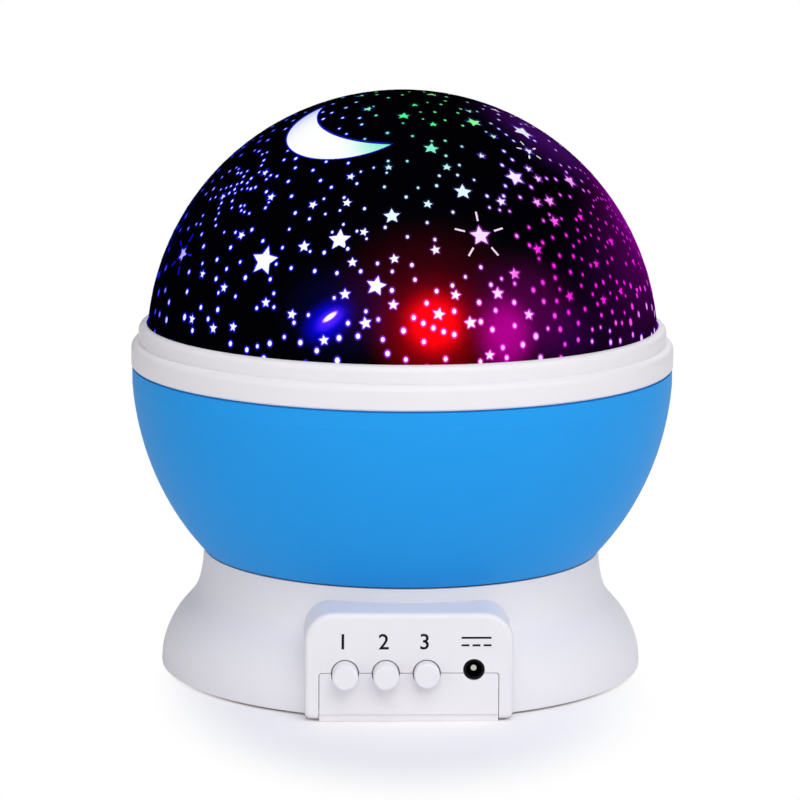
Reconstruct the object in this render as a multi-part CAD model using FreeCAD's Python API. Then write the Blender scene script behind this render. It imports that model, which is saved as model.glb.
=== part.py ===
import FreeCAD, Part
import math
import os
import random
from FreeCAD import Vector

# Star night light: a white base with a console, a blue bowl that turns on it, a two-step ring and a
# dark dome with a moon and stars left clear. Millimetres, +Z up, the console faces -Y, and the
# origin is on the axis at the surface that the light stands on.

# Dome
dome_r = 59.0
dome_centre_z = 74.7
dome_wall = 1.5
mask_t = 0.25
dome_seat_z = 77.0
lip_gap = 0.35

# Ring, upper tier with the bayonet lugs
collar_side_t = 1.79
collar_foot_z = 76.25
collar_edge_z = 78.6
collar_top_z = 80.25
collar_lip_w = 0.35
dome_seat_gap = 0.1
spigot_step = 0.4
spigot_wall = 2.4
spigot_foot_z = 72.0
lug_depth = 1.2
lug_h = 1.7
lug_root = 0.6
lug_angle = 16.0
lug_count = 3
lug_side_gap = 2.0
twist_angle = 25.0
bayonet_gap = 0.3
stop_angle = 3.0
stop_gap = 2.5

# Ring, lower tier, and the bowl
rim_wall = 1.7
rim_shoulder_z = 74.6
rim_shoulder_drop = 1.35
rim_foot_z = 70.6
rim_flange_h = 2.2
rim_floor_t = 1.1
rim_chamfer = 0.35
stop_root = 0.5
notch_cut = 1.0
rim_spigot_h = 3.0
rim_spigot_wall = 1.5
bowl_step = 0.2
bowl_fit = 0.1
bowl_seam_h = 0.4
bowl_seam_depth = 0.6
bowl_shoulder_z = 66.4
bowl_foot_step = 0.1
bowl_foot_z = 27.8
bowl_wall = 2.4
bowl_floor_t = 2.0
bowl_curve = [(0.30, 0.115), (0.54, 0.304), (0.775, 0.592)]
deck_t = 1.3
deck_rib_w = 2.0
deck_rib_depth = 3.0
deck_rib_h = 8.0
deck_rib_count = 6
deck_hole_gap = 1.0
hub_hole_gap = 0.2

# Base housing: neck, skirt and console
neck_r = 45.95
neck_top_z = 27.4
skirt_r = 55.8
skirt_foot_z = 0.5
skirt_curve = [(0.223, 0.068), (0.39, 0.225), (0.55, 0.582), (0.71, 0.838)]
housing_wall = 2.0
console_w = 46.0
console_front_y = -56.5
console_back_y = -42.0
console_top_z = 24.4
console_corner_r = 6.6
console_edge_r = 1.2
console_foot_r = 1.5

# Bottom cover with its front tab and battery bay
cover_t = 2.2
cover_gap = 0.2
tab_w = 39.5
tab_h = 10.9
tab_corner_r = 0.6
tab_step_z = 1.6
tab_step_depth = 0.3
seam_gap = 0.15
bay_width = 45.2
bay_top_z = 12.5
bay_wall = 1.4
bay_roof = 1.0
post_r = 3.5
post_depth = 4.95
post_angle = 45.0
post_count = 4
board_post_r = 3.0
board_post_x = 16.0
board_post_y = [-33.5, -49.5]

# Battery door
door_t = 1.4
door_lift = 0.2
door_gap = 0.3
door_axis_z = 1.1
door_barrel_r = 0.9
door_pin_r = 0.6
door_pin_length = 1.4
door_thumb_r = 6.0
door_thumb_depth = 0.6

# Fasteners
screw_r = 1.25
screw_head_r = 2.5
screw_head_h = 1.8
screw_gap = 0.25
cover_screw_length = 17.0
cover_screw_z = 1.2
small_screw_r = 1.0
small_head_r = 1.9
small_head_h = 1.2

# Drive: plate, column, turntable and gears
plate_margin = 2.4
plate_z = 15.0
plate_t = 1.6
boss_h = 5.6
boss_roof = 1.0
boss_web_t = 2.4
column_r = 6.5
column_bore_r = 5.0
column_top_z = 72.0
column_flange_margin = 2.4
column_flange_t = 1.6
column_screw_ring_r = 11.6
column_screw_count = 3
column_screw_angle = 30.0
washer_t = 0.6
washer_w = 2.7
washer_fit = 0.1
hub_wall = 2.95
hub_h = 11.8
running_gap = 0.05
table_gap = 0.5
table_t = 2.0
table_screw_ring_r = 32.0
table_screw_count = 4
table_screw_angle = 45.0
gear_module = 1.0
addendum = 0.8
dedendum = 1.1
backlash = 0.28
pressure_angle = 20.0
table_teeth = 44
idler_small_teeth = 12
idler_large_teeth = 26
pinion_teeth = 10
table_gear_t = 3.4
idler_large_t = 2.2
gear_step = 0.4
gear_gap = 0.6
idler_collar_w = 1.5
idler_axle_r = 1.5
motor_turn = 21.0
motor_r = 7.5
motor_h = 12.0
motor_cap_h = 1.6
motor_cap_step = 0.4
motor_shaft_r = 1.0
motor_shaft_depth = 3.5
motor_bore_depth = 4.0
shaft_hole_gap = 1.0

# Lamps
lamp_board_r = 9.0
board_t = 1.6
lamp_ring_r = 5.0
lamp_r = 2.5
lamp_flange_r = 2.9
lamp_flange_h = 1.0
lamp_h = 8.0

# Controls: three buttons and the charging jack, on one line across the console
main_board_z = 5.0
main_board_w = 40.0
main_board_front_y = -53.5
main_board_back_y = -30.5
control_z = 10.9
button_x = [-14.1, -5.1, 3.9]
button_proud = [4.4, 4.4, 3.0]
button_r = 2.85
button_hole_r = 3.1
button_edge_r = 0.6
button_flange_r = 3.7
button_flange_t = 1.2
button_clear = 0.3
plunger_r = 1.5
plunger_length = 7.0
switch_w = 7.4
switch_rise = 3.7
jack_body_gap = 0.1
switch_front_y = -49.5
switch_depth = 8.0
switch_bore_depth = 6.4
jack_x = 14.3
jack_lift = 0.85
jack_body_w = 9.0
jack_nose_r = 2.3
jack_hole_r = 2.4
jack_bore_r = 1.8
jack_recess = 0.25
jack_bore_depth = 9.3
jack_back_y = -43.0
jack_pin_r = 0.65
jack_pin_recess = 1.5

# Batteries and contacts
cell_r = 5.15
cell_length = 43.5
nub_r = 1.9
nub_h = 1.0
cell_count = 4
cell_pitch = 11.2
contact_t = 0.4
contact_w = 8.0
contact_h = 7.0
leaf_w = 4.0
leaf_reach = 5.1
leaf_tip_low = 1.5
leaf_tip_high = 2.0
leaf_bend = 0.8

# Wires
wire_r = 0.45
wire_bend_r = 2.7
lamp_wire_pitch = 1.1
lamp_wire_z = 14.25
lead_z = 12.0
lead_x = [-11.0, -9.0]
lead_end_gap = 0.1
lead_bend_r = 2.3
motor_lead_bend_r = 5.0
motor_lead_z = [7.4, 8.5]
motor_lead_points = [(33, 36), (41, 24), (42, 0), (41, -24), (33, -38.5)]
socket_l = 5.0
socket_w = 4.0
socket_h = 3.0
socket_y = -38.5
chip_x = 4.5
chip_y = -37.0
chip_l = 8.0
chip_w = 5.0
chip_h = 1.6

# Windows in the dome: azimuth and elevation in degrees from the dome's centre, and radius
star_inner_share = 0.48
window_cut = 2.0
front_stars = [
    (-37, 26, 3.6), (-18, 32, 2.7), (-5, 38, 2.0), (16, 44, 2.2), (9, 57, 2.0), (-2, 70, 1.8),
    (39, 66, 2.2), (60, 83, 2.0), (64, 60, 3.3), (36, 47, 2.5), (60, 44, 2.2), (44, 40, 1.6),
    (52, 54, 1.4), (18, 33, 2.5), (-8, 22, 2.3), (-27, 30, 1.5), (-69, 24, 2.2), (-43, 41, 1.2),
    (-47, 31, 1.2), (-14, 27, 1.2), (-27, 15, 1.2), (-56, 11, 1.3), (-19, 10, 1.2), (5, 41, 1.2),
    (13, 51, 1.2), (6, 30, 1.2), (33, 29, 1.3), (10, 20, 1.2), (39, 18, 1.3), (58, 17, 1.3),
    (27, 15, 1.2), (-4, 18, 1.2), (51, 24, 1.2), (17, 7, 1.1), (-47, 19, 1.2), (-92, 43, 2.4),
    (-88, 51, 2.2), (79, 69, 2.0), (-77, 80, 1.6), (-30, 73, 1.5), (42, 35, 1.5), (62, 28, 1.5),
    (71, 22, 1.5), (25, 24, 1.4), (20, 20, 1.4), (6, 16, 1.4), (13, 14, 1.4), (-10, 14, 1.4),
    (39, 40, 1.3), (27, 41, 1.3), (50, 16, 1.3), (67, 16, 1.3), (-15, 20, 1.3), (-48, 10, 1.3),
    (14, 66, 1.2), (45, 46, 1.2), (8, 76, 1.2), (48, 71, 1.2), (-4, 28, 1.2), (-18, 41, 1.2),
    (-28, 40, 1.2), (-34, 17, 1.2), (-42, 11, 1.2), (53, 35, 1.2), (44, 49, 1.1), (41, 60, 1.1),
    (-19, 48, 1.1), (-52, 47, 1.1), (-12, 34, 1.1), (-56, 21, 1.1), (-64, 39, 1.1), (-7, 51, 1.0),
    (28, 54, 1.0),
]
star_tilt = 14.0
moon_outer = (-33.4, 67.5, 15.2)
moon_inner = (-8.0, 76.6, 18.3)
back_star_count = 44
back_star_r = [1.2, 3.4]
back_star_space = 1.6
back_star_el = [12.0, 76.0]
star_seed = 12


# Basic shapes

def box(x0, x1, y0, y1, z0, z1):
    return Part.makeBox(x1 - x0, y1 - y0, z1 - z0, Vector(x0, y0, z0))


def rod(r, z0, z1, x=0.0, y=0.0):
    return Part.makeCylinder(r, z1 - z0, Vector(x, y, z0))


def rod_y(r, y0, y1, x, z):
    return Part.makeCylinder(r, y1 - y0, Vector(x, y0, z), Vector(0, 1, 0))


def washer(r_in, r_out, z0, z1):
    return rod(r_out, z0, z1).cut(rod(r_in, z0, z1))


def around(shape, count, start=0.0):
    copies = []
    for i in range(count):
        copy = shape.copy()
        copy.rotate(Vector(0, 0, 0), Vector(0, 0, 1), start + 360.0 * i / count)
        copies.append(copy)
    return copies


def sector(r_in, r_out, z0, z1, middle, angle):
    wedge = Part.makeCylinder(r_out, z1 - z0, Vector(0, 0, z0), Vector(0, 0, 1), angle)
    wedge.rotate(Vector(0, 0, 0), Vector(0, 0, 1), middle - angle / 2)
    return wedge.cut(rod(r_in, z0, z1))


def turned(edges):
    return Part.Face(Part.Wire(edges)).revolve(Vector(0, 0, 0), Vector(0, 0, 1), 360)


def at(r, z):
    return Vector(r, 0, z)


def line(a, b):
    return Part.makeLine(at(*a), at(*b))


def arc(a, b, c):
    return Part.Arc(at(*a), at(*b), at(*c)).toShape()


def chain(points):
    return [line(points[i], points[i + 1]) for i in range(len(points) - 1)]


def curve(points):
    spline = Part.BSplineCurve()
    spline.interpolate([at(*p) for p in points])
    return spline.toShape()


def save(name, shape):
    shape.exportStep("parts/" + name + ".step")


def solids(shapes):
    return Part.makeCompound(shapes)


# Values worked out from the sizes above

dome_top_z = dome_centre_z + dome_r
shell_r = dome_r - mask_t
collar_lip_r = math.sqrt(dome_r ** 2 - (collar_top_z - dome_centre_z) ** 2) + lip_gap
collar_r = collar_lip_r + collar_side_t
collar_bore_top_r = math.sqrt(dome_r ** 2 - (dome_seat_z - dome_centre_z) ** 2) + dome_seat_gap
spigot_r = dome_r + spigot_step
collar_bore_r = spigot_r - spigot_wall
rim_top_z = collar_foot_z
rim_flange_z = rim_top_z - rim_flange_h
rim_bore_r = spigot_r + bayonet_gap
lug_r = spigot_r + lug_depth
chamber_r = lug_r + bayonet_gap
rim_r = chamber_r + rim_wall
bowl_r = rim_r - bowl_step
bowl_foot_r = neck_r + bowl_foot_step
rim_floor_top_z = rim_foot_z + rim_floor_t
lug_top_z = rim_flange_z - bayonet_gap
rim_spigot_r = bowl_r - bowl_wall - bowl_fit
rim_spigot_foot_z = rim_foot_z - rim_spigot_h
deck_z = rim_spigot_foot_z - deck_t
bay_length = cell_length + nub_h + leaf_reach + contact_t * 2
post_ring_r = neck_r - post_depth
door_axis_x = bay_length / 2 - door_gap - door_barrel_r
post_foot_z = cover_t
plate_top_z = plate_z + plate_t
plate_r = post_ring_r + plate_margin
flange_top_z = plate_top_z + column_flange_t
column_flange_r = column_screw_ring_r + column_flange_margin
hub_r = column_r + running_gap + hub_wall
washer_r = column_r + washer_fit + washer_w
washer_top_z = flange_top_z + washer_t
table_top_z = bowl_foot_z
table_z = table_top_z - table_t
table_r = neck_r - housing_wall - table_gap
table_gear_z = table_z - table_gear_t
idler_large_top_z = table_gear_z - gear_gap
idler_large_z = idler_large_top_z - idler_large_t
idler_small_top_z = table_z - gear_step
table_pitch_r = gear_module * table_teeth / 2
idler_y = table_pitch_r + gear_module * idler_small_teeth / 2
motor_reach = gear_module * (idler_large_teeth + pinion_teeth) / 2
motor_x = motor_reach * math.cos(math.radians(motor_turn))
motor_y = idler_y + motor_reach * math.sin(math.radians(motor_turn))
main_board_top_z = main_board_z + board_t
jack_rise = control_z - main_board_top_z
jack_z = control_z + jack_lift
inner_wall_y = console_front_y + housing_wall


# Dome

def cap_shell(r_in, r_out, z_foot):
    h = z_foot - dome_centre_z
    half = math.sqrt(0.5)
    outer_foot = (math.sqrt(r_out ** 2 - h ** 2), z_foot)
    inner_foot = (math.sqrt(r_in ** 2 - h ** 2), z_foot)
    outer_mid = (r_out * half, dome_centre_z + r_out * half)
    inner_mid = (r_in * half, dome_centre_z + r_in * half)
    outer_top = (0.0, dome_centre_z + r_out)
    inner_top = (0.0, dome_centre_z + r_in)
    edges = [arc(outer_foot, outer_mid, outer_top), line(outer_top, inner_top)]
    edges += [arc(inner_top, inner_mid, inner_foot), line(inner_foot, outer_foot)]
    return turned(edges)


def direction(azimuth, elevation):
    a = math.radians(azimuth)
    e = math.radians(elevation)
    return Vector(math.cos(e) * math.sin(a), -math.cos(e) * math.cos(a), math.sin(e))


def on_dome(prism, azimuth, elevation):
    way = direction(azimuth, elevation)
    side = Vector(math.cos(math.radians(azimuth)), math.sin(math.radians(azimuth)), 0)
    turn = FreeCAD.Rotation(side, way.cross(side), way, "ZXY")
    foot = Vector(0, 0, dome_centre_z) + way * (shell_r - window_cut)
    prism.Placement = FreeCAD.Placement(foot, turn)
    return prism


def star_prism(r, turn):
    corners = []
    for i in range(10):
        reach = r if i % 2 == 0 else r * star_inner_share
        angle = math.radians(90 + turn + 36 * i)
        corners.append(Vector(reach * math.cos(angle), reach * math.sin(angle), 0))
    corners.append(corners[0])
    return Part.Face(Part.makePolygon(corners)).extrude(Vector(0, 0, 2 * window_cut))


def moon_prism():
    depth = 2 * window_cut + moon_outer[2] ** 2 / dome_r
    discs = []
    for azimuth, elevation, r in (moon_outer, moon_inner):
        disc = on_dome(Part.makeCylinder(r, 2 * depth), azimuth, elevation)
        disc.translate(direction(azimuth, elevation) * (window_cut - depth))
        discs.append(disc)
    outer, inner = discs
    return outer.cut(inner)


def star_places():
    rng = random.Random(star_seed)
    stars = [(a, e, r, rng.uniform(-star_tilt, star_tilt)) for a, e, r in front_stars]
    taken = [(direction(a, e) * dome_r, r) for a, e, r in front_stars]
    taken.append((direction(moon_outer[0], moon_outer[1]) * dome_r, moon_outer[2]))
    lowest, highest = [math.sin(math.radians(e)) for e in back_star_el]
    while len(stars) < len(front_stars) + back_star_count:
        elevation = math.degrees(math.asin(rng.uniform(lowest, highest)))
        azimuth = 180 + rng.uniform(-105, 105)
        r = back_star_r[0] + (back_star_r[1] - back_star_r[0]) * rng.random() ** 2
        spot = direction(azimuth, elevation) * dome_r
        if min((spot - p).Length - q - r for p, q in taken) > back_star_space:
            stars.append((azimuth, elevation, r, rng.uniform(-star_tilt, star_tilt)))
            taken.append((spot, r))
    return stars


def make_dome():
    save("dome_shell", cap_shell(shell_r - dome_wall, shell_r, dome_seat_z))
    windows = [on_dome(star_prism(r, turn), a, e) for a, e, r, turn in star_places()]
    windows.append(moon_prism())
    save("star_mask", cap_shell(shell_r, dome_r, dome_seat_z).cut(solids(windows)))


def make_collar():
    lip = (collar_lip_r + collar_lip_w, collar_top_z)
    edge = (collar_r, collar_edge_z)
    rise = collar_top_z - collar_edge_z
    mid = (collar_r - 0.3 * (edge[0] - lip[0]), collar_edge_z + 0.7 * rise)
    edges = chain([(spigot_r, spigot_foot_z), (spigot_r, collar_foot_z)])
    edges += chain([(spigot_r, collar_foot_z), (collar_r, collar_foot_z), edge])
    edges.append(arc(edge, mid, lip))
    edges += chain([lip, (collar_lip_r, collar_top_z), (collar_bore_top_r, dome_seat_z)])
    edges += chain([(collar_bore_top_r, dome_seat_z), (collar_bore_r, dome_seat_z)])
    edges += chain([(collar_bore_r, dome_seat_z), (collar_bore_r, spigot_foot_z)])
    edges += chain([(collar_bore_r, spigot_foot_z), (spigot_r, spigot_foot_z)])
    collar = turned(edges)
    lug = sector(spigot_r - lug_root, lug_r, lug_top_z - lug_h, lug_top_z, 0, lug_angle)
    save("dome_collar", collar.fuse(around(lug, lug_count)).removeSplitter())


# Head

def make_rim():
    shoulder_top_r = rim_r - rim_shoulder_drop
    rise = rim_top_z - rim_shoulder_z
    mid = (rim_r - 0.3 * rim_shoulder_drop, rim_shoulder_z + 0.68 * rise)
    foot = (rim_r - rim_chamfer, rim_foot_z)
    side = (rim_r, rim_foot_z + rim_chamfer)
    spigot_in_r = rim_spigot_r - rim_spigot_wall
    edges = chain([foot, side, (rim_r, rim_shoulder_z)])
    edges.append(arc((rim_r, rim_shoulder_z), mid, (shoulder_top_r, rim_top_z)))
    edges += chain([(shoulder_top_r, rim_top_z), (rim_bore_r, rim_top_z), (rim_bore_r, rim_flange_z)])
    edges += chain([(rim_bore_r, rim_flange_z), (chamber_r, rim_flange_z), (chamber_r, rim_floor_top_z)])
    edges += chain([(chamber_r, rim_floor_top_z), (spigot_in_r, rim_floor_top_z)])
    edges += chain([(spigot_in_r, rim_floor_top_z), (spigot_in_r, rim_spigot_foot_z)])
    edges += chain([(spigot_in_r, rim_spigot_foot_z), (rim_spigot_r, rim_spigot_foot_z)])
    edges += chain([(rim_spigot_r, rim_spigot_foot_z), (rim_spigot_r, rim_foot_z), foot])
    rim = turned(edges)
    notch_angle = lug_angle + 2 * lug_side_gap
    notch = sector(rim_bore_r - notch_cut, chamber_r, rim_flange_z, rim_top_z, twist_angle, notch_angle)
    rim = rim.cut(solids(around(notch, lug_count)))
    near = -(lug_angle / 2 + stop_gap + stop_angle / 2)
    far = twist_angle + lug_angle / 2 + stop_gap + stop_angle / 2
    ribs = []
    for middle in (near, far):
        rib = sector(rim_bore_r, chamber_r + stop_root, rim_floor_top_z, rim_flange_z, middle, stop_angle)
        ribs += around(rib, lug_count)
    save("bowl_rim", rim.fuse(ribs).removeSplitter())


def bowl_points(inset):
    height = bowl_shoulder_z - bowl_foot_z
    drop = bowl_r - bowl_foot_r
    points = [(bowl_r - inset, bowl_shoulder_z)]
    points += [(bowl_r - inset - d * drop, bowl_shoulder_z - u * height) for u, d in bowl_curve]
    points.append((bowl_foot_r - inset, bowl_foot_z))
    return points


def make_bowl():
    outer = bowl_points(0.0)
    edges = chain([(0.0, bowl_foot_z), outer[-1]])
    edges.append(curve(outer))
    seam_z = rim_foot_z - bowl_seam_h
    seam_r = bowl_r - bowl_seam_depth
    edges += chain([outer[0], (bowl_r, seam_z), (seam_r, seam_z), (seam_r, rim_foot_z)])
    edges += chain([(seam_r, rim_foot_z), (0.0, rim_foot_z), (0.0, bowl_foot_z)])
    solid = turned(edges)
    inner = bowl_points(bowl_wall)
    edges = chain([(0.0, bowl_foot_z), inner[-1]])
    edges.append(curve(inner))
    inner_top = (bowl_r - bowl_wall, rim_foot_z)
    edges += chain([inner[0], inner_top, (0.0, rim_foot_z), (0.0, bowl_foot_z)])
    hollow = turned(edges)
    hollow = hollow.cut(rod(bowl_r, bowl_foot_z, bowl_foot_z + bowl_floor_t))
    bowl = solid.cut(hollow)
    hub_hole = rod(hub_r + hub_hole_gap, bowl_foot_z, bowl_foot_z + bowl_floor_t)
    bowl = bowl.cut(hub_hole)
    hole = rod(screw_r, bowl_foot_z, bowl_foot_z + bowl_floor_t, table_screw_ring_r)
    bowl = bowl.cut(solids(around(hole, table_screw_count, table_screw_angle)))
    rib = box(bowl_r - bowl_wall - deck_rib_depth, bowl_r, -deck_rib_w / 2, deck_rib_w / 2,
              deck_z - deck_rib_h, deck_z)
    ribs = [r.common(solid) for r in around(rib, deck_rib_count)]
    save("bowl", bowl.fuse(ribs).removeSplitter())
    deck = washer(lamp_board_r + deck_hole_gap, rim_spigot_r, deck_z, rim_spigot_foot_z)
    save("head_deck", deck)


# Gears

def involute_half_angle(teeth, r):
    pitch_r = gear_module * teeth / 2
    base_r = pitch_r * math.cos(math.radians(pressure_angle))
    pitch_roll = math.radians(pressure_angle)
    roll = math.acos(min(1.0, base_r / max(r, base_r)))
    spread = (math.tan(pitch_roll) - pitch_roll) - (math.tan(roll) - roll)
    return math.pi / (2 * teeth) - backlash / (2 * 2 * pitch_r) + spread


def gear(teeth, z0, z1, bore_r, x=0.0, y=0.0, tooth_at=0.0):
    pitch_r = gear_module * teeth / 2
    root_r = pitch_r - dedendum * gear_module
    tip_r = pitch_r + addendum * gear_module
    flank = [root_r, pitch_r, tip_r]
    corners = []
    for i in range(teeth):
        middle = math.radians(tooth_at + 360.0 * i / teeth)
        for r in flank:
            angle = middle - involute_half_angle(teeth, r)
            corners.append(Vector(r * math.cos(angle), r * math.sin(angle), z0))
        for r in reversed(flank):
            angle = middle + involute_half_angle(teeth, r)
            corners.append(Vector(r * math.cos(angle), r * math.sin(angle), z0))
    corners.append(corners[0])
    wheel = Part.Face(Part.makePolygon(corners)).extrude(Vector(0, 0, z1 - z0))
    wheel = wheel.cut(rod(bore_r, z0, z1))
    wheel.translate(Vector(x, y, 0))
    return wheel


def make_turntable():
    disc = rod(table_r, table_z, table_top_z)
    hub = rod(hub_r, washer_top_z, washer_top_z + hub_h)
    table = disc.fuse(hub).cut(rod(column_r + running_gap, washer_top_z, washer_top_z + hub_h))
    hole = rod(screw_r, table_z, table_top_z, table_screw_ring_r)
    table = table.cut(solids(around(hole, table_screw_count, table_screw_angle)))
    save("turntable", table.removeSplitter())
    half_tooth = 180.0 / table_teeth
    ring = gear(table_teeth, table_gear_z, table_z, hub_r, tooth_at=90 + half_tooth)
    save("turntable_gear", ring)
    top_z = bowl_foot_z + bowl_floor_t
    screw = rod(screw_r, table_z, top_z, table_screw_ring_r)
    head = rod(screw_head_r, top_z, top_z + screw_head_h, table_screw_ring_r)
    save("turntable_screws", solids(around(screw.fuse(head), table_screw_count, table_screw_angle)))


def make_drive():
    plate = rod(plate_r, plate_z, plate_top_z)
    holes = [rod(column_bore_r, plate_z, plate_top_z)]
    holes.append(rod(motor_shaft_r + shaft_hole_gap, plate_z, plate_top_z, motor_x, motor_y))
    holes.append(rod(idler_axle_r, plate_z, plate_top_z, 0, idler_y))
    holes += around(rod(screw_r + screw_gap, plate_z, plate_top_z, post_ring_r), post_count, post_angle)
    column_hole = rod(small_screw_r, plate_z, plate_top_z, column_screw_ring_r)
    holes += around(column_hole, column_screw_count, column_screw_angle)
    save("drive_plate", plate.cut(solids(holes)))

    column = rod(column_r, plate_top_z, column_top_z)
    column = column.fuse(rod(column_flange_r, plate_top_z, flange_top_z))
    column = column.cut(rod(column_bore_r, plate_top_z, column_top_z))
    flange_hole = rod(small_screw_r, plate_top_z, flange_top_z, column_screw_ring_r)
    column = column.cut(solids(around(flange_hole, column_screw_count, column_screw_angle)))
    save("lamp_column", column.removeSplitter())
    screw = rod(small_screw_r, plate_z, flange_top_z, column_screw_ring_r)
    head = rod(small_head_r, flange_top_z, flange_top_z + small_head_h, column_screw_ring_r)
    save("column_screws", solids(around(screw.fuse(head), column_screw_count, column_screw_angle)))
    save("thrust_washer", washer(column_r + washer_fit, washer_r, flange_top_z, washer_top_z))

    save("idler_axle", rod(idler_axle_r, plate_z, idler_small_top_z, 0, idler_y))
    bore_r = idler_axle_r + running_gap
    large = gear(idler_large_teeth, idler_large_z, idler_large_top_z, bore_r, 0, idler_y, motor_turn)
    small = gear(idler_small_teeth, idler_large_top_z, idler_small_top_z, bore_r, 0, idler_y, -90)
    collar = rod(idler_axle_r + idler_collar_w, plate_top_z, idler_large_z, 0, idler_y)
    collar = collar.cut(rod(bore_r, plate_top_z, idler_large_z, 0, idler_y))
    save("idler_gear", large.fuse([small, collar]).removeSplitter())

    can = rod(motor_r, plate_z - motor_h + motor_cap_h, plate_z, motor_x, motor_y)
    bore = rod(motor_shaft_r + running_gap, plate_z - motor_bore_depth, plate_z, motor_x, motor_y)
    save("motor_can", can.cut(bore))
    cap = rod(motor_r - motor_cap_step, plate_z - motor_h, plate_z - motor_h + motor_cap_h, motor_x, motor_y)
    save("motor_cap", cap)
    save("motor_shaft", rod(motor_shaft_r, plate_z - motor_shaft_depth, idler_large_top_z, motor_x, motor_y))
    half_tooth = 180.0 / pinion_teeth
    pinion = gear(pinion_teeth, idler_large_z, idler_large_top_z, motor_shaft_r,
                  motor_x, motor_y, motor_turn + 180 + half_tooth)
    save("motor_pinion", pinion)


# Base

def skirt_points(inset):
    height = neck_top_z - skirt_foot_z
    spread = skirt_r - neck_r
    points = [(neck_r - inset, neck_top_z)]
    points += [(neck_r - inset + d * spread, neck_top_z - u * height) for u, d in skirt_curve]
    points.append((skirt_r - inset, skirt_foot_z))
    return points


def skirt_solid(inset):
    points = skirt_points(inset)
    edges = chain([(0.0, skirt_foot_z), points[-1]])
    edges.append(curve(points))
    edges += chain([points[0], (0.0, neck_top_z), (0.0, skirt_foot_z)])
    return turned(edges)


def edges_along_y(block, z):
    found = []
    for edge in block.Edges:
        a, b = [v.Point for v in edge.Vertexes]
        if abs(a.z - z) < 0.01 and abs(b.z - z) < 0.01 and abs(a.x - b.x) < 0.01:
            found.append(edge)
    return found


def console_outline():
    corners = [(1, skirt_foot_z, console_foot_r, 1), (1, console_top_z, console_corner_r, -1)]
    corners += [(-1, console_top_z, console_corner_r, -1), (-1, skirt_foot_z, console_foot_r, 1)]
    bend = 1 - math.sqrt(0.5)
    y = console_front_y
    arcs = []
    for i, (side, z, r, inward) in enumerate(corners):
        x = side * console_w / 2
        level = Vector(x - side * r, y, z)
        middle = Vector(x - side * r * bend, y, z + inward * r * bend)
        upright = Vector(x, y, z + inward * r)
        arcs.append((level, middle, upright) if i % 2 == 0 else (upright, middle, level))
    edges = []
    for i, (start, middle, end) in enumerate(arcs):
        edges.append(Part.makeLine(arcs[i - 1][2], start))
        edges.append(Part.Arc(start, middle, end).toShape())
    return Part.Face(Part.Wire(edges))


def softened_front(shape):
    front = [e for e in shape.Edges if abs(e.BoundBox.YMax - console_front_y) < 0.01]
    return shape.makeFillet(console_edge_r, front)


def console_hollow():
    half_w = console_w / 2 - housing_wall
    top_z = console_top_z - housing_wall
    block = box(-half_w, half_w, inner_wall_y, console_back_y, skirt_foot_z, top_z)
    return block.makeFillet(console_corner_r - housing_wall, edges_along_y(block, top_z))


def control_holes(y0, y1):
    holes = [rod_y(button_hole_r, y0, y1, x, control_z) for x in button_x]
    holes.append(rod_y(jack_hole_r, y0, y1, jack_x, jack_z))
    return solids(holes)


def make_housing():
    console = console_outline().extrude(Vector(0, console_back_y - console_front_y, 0))
    outer = softened_front(skirt_solid(0.0).fuse(console).removeSplitter())
    inner = skirt_solid(housing_wall).fuse(console_hollow())
    housing = outer.cut(inner)
    boss_top = plate_top_z + boss_h
    boss = rod(post_r, plate_top_z, boss_top, post_ring_r)
    web = box(post_ring_r, neck_r + housing_wall, -boss_web_t / 2, boss_web_t / 2, plate_top_z, boss_top)
    bosses = [b.common(outer) for b in around(boss.fuse(web), post_count, post_angle)]
    housing = housing.fuse(bosses)
    pilot = rod(screw_r, plate_top_z, boss_top - boss_roof, post_ring_r)
    housing = housing.cut(solids(around(pilot, post_count, post_angle)))
    notch_w = tab_w / 2 + seam_gap
    notch = box(-notch_w, notch_w, console_front_y - 1, inner_wall_y, 0, tab_h + seam_gap)
    notch = notch.makeFillet(tab_corner_r + seam_gap, edges_along_y(notch, tab_h + seam_gap))
    housing = housing.cut(notch).cut(control_holes(console_front_y - 1, inner_wall_y))
    save("base_housing", housing.removeSplitter())


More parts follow.
